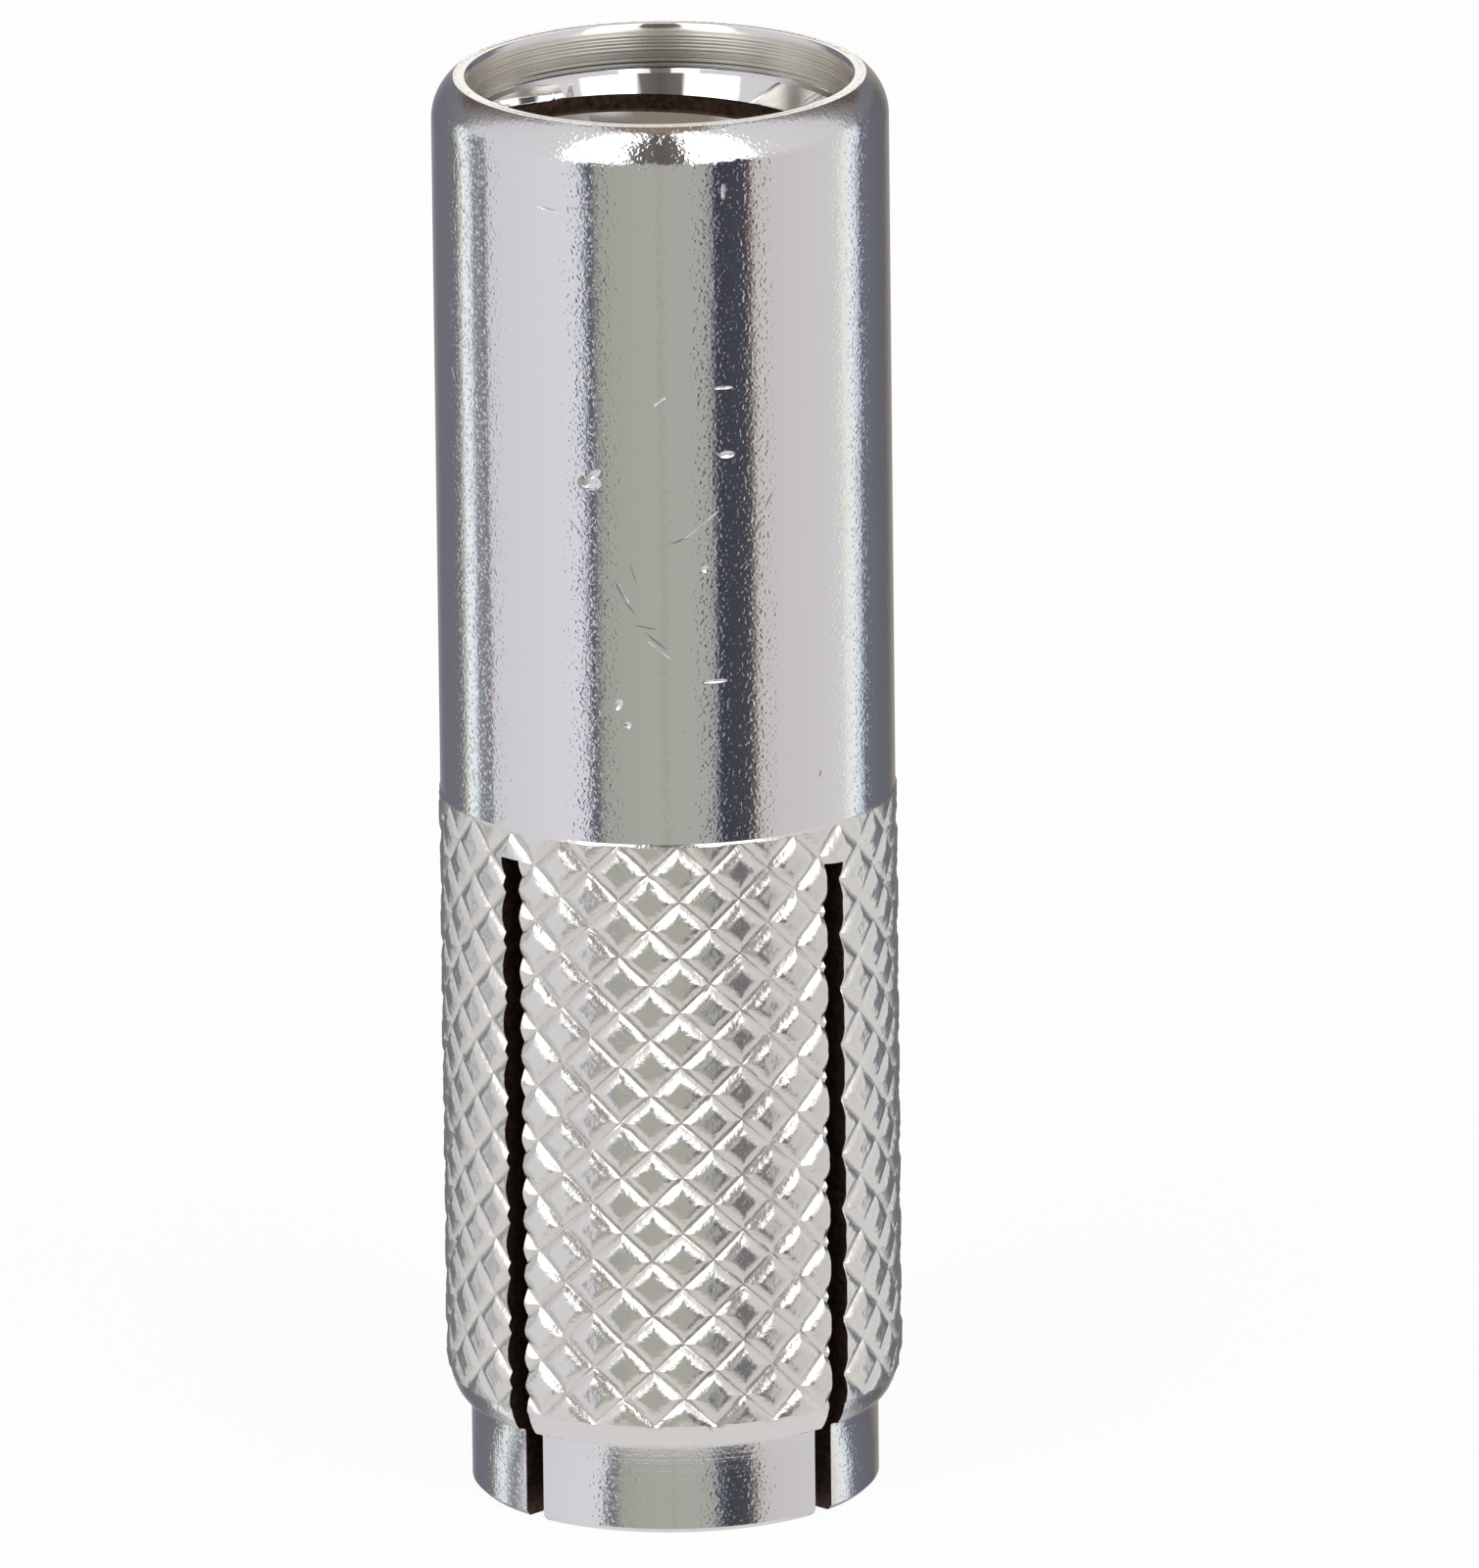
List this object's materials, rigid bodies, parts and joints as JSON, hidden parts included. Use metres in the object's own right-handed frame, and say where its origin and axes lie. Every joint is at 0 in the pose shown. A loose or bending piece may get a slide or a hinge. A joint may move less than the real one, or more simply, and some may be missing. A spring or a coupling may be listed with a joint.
{
  "type": "drop-in anchor",
  "caption": "Internally threaded steel sleeve with a knurled, slotted lower end and a loose wedge plug inside.",
  "frame": {"origin": "middle of the nose face, on the anchor's axis", "axes": "+Z along the axis from the nose to the threaded mouth; X and Y lie midway between the slots"},
  "size_m": [0.016, 0.016, 0.0508],
  "materials": {
    "zinc_plated_steel": "bright clear zinc plating",
    "plain_steel": "turned steel, lightly oiled"
  },
  "bodies": {
    "anchor": {"anchor_body": "zinc_plated_steel"},
    "plug": {"expander_plug": "plain_steel"}
  },
  "joints": [
    {"name": "plug_drive", "type": "slide", "parent": "anchor", "child": "plug", "axis": [0, 0, -1], "range_m": [0, 0.0025]}
  ]
}
